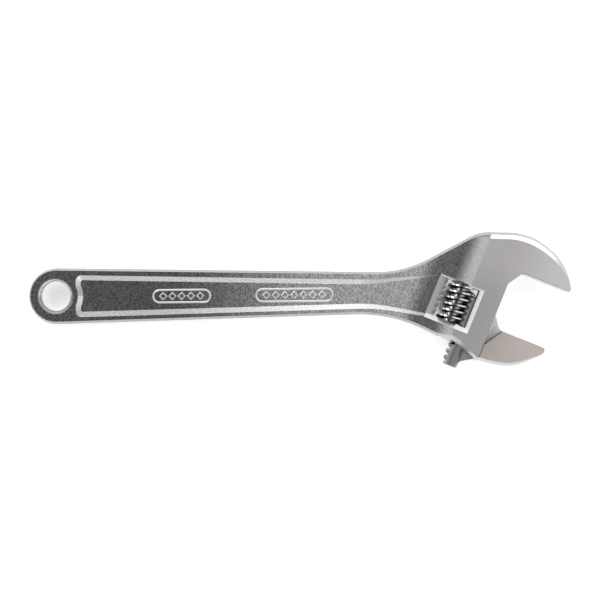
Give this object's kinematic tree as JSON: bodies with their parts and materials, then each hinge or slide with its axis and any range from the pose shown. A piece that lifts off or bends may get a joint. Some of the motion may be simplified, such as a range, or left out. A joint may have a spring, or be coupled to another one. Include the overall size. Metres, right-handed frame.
{
  "type": "adjustable wrench",
  "caption": "Large adjustable wrench with a sunk-panel handle, hang hole and a worm-driven sliding jaw.",
  "frame": {"origin": "centre of the hang hole on the mid-plane", "axes": "+X along the handle to the head, +Y to the fixed jaw, +Z out of the front face"},
  "size_m": [0.4577, 0.1148, 0.027],
  "materials": {
    "forged_chrome": "satin",
    "jaw_chrome": "satin",
    "worm_steel": "polished",
    "pin_steel": "satin",
    "spring_steel": "satin"
  },
  "bodies": {
    "frame": {"wrench_body": "forged_chrome", "worm_pin": "pin_steel", "worm_spring": "spring_steel"},
    "jaw": {"movable_jaw": "jaw_chrome"},
    "worm_drive": {"worm": "worm_steel"}
  },
  "joints": [
    {"name": "jaw_slide", "type": "slide", "parent": "frame", "child": "jaw", "axis": [-0.3827, -0.9239, 0], "range_m": [-0.0513, 0.0026]},
    {"name": "worm_spin", "type": "hinge", "parent": "frame", "child": "worm_drive", "pos_m": [0.3381, -0.0089, 0], "axis": [0.3827, 0.9239, 0], "range_deg": [-1680, 86]}
  ],
  "couplings": [
    {"joint": "worm_spin", "follows": "jaw_slide", "rad_per_m": 571.2}
  ]
}
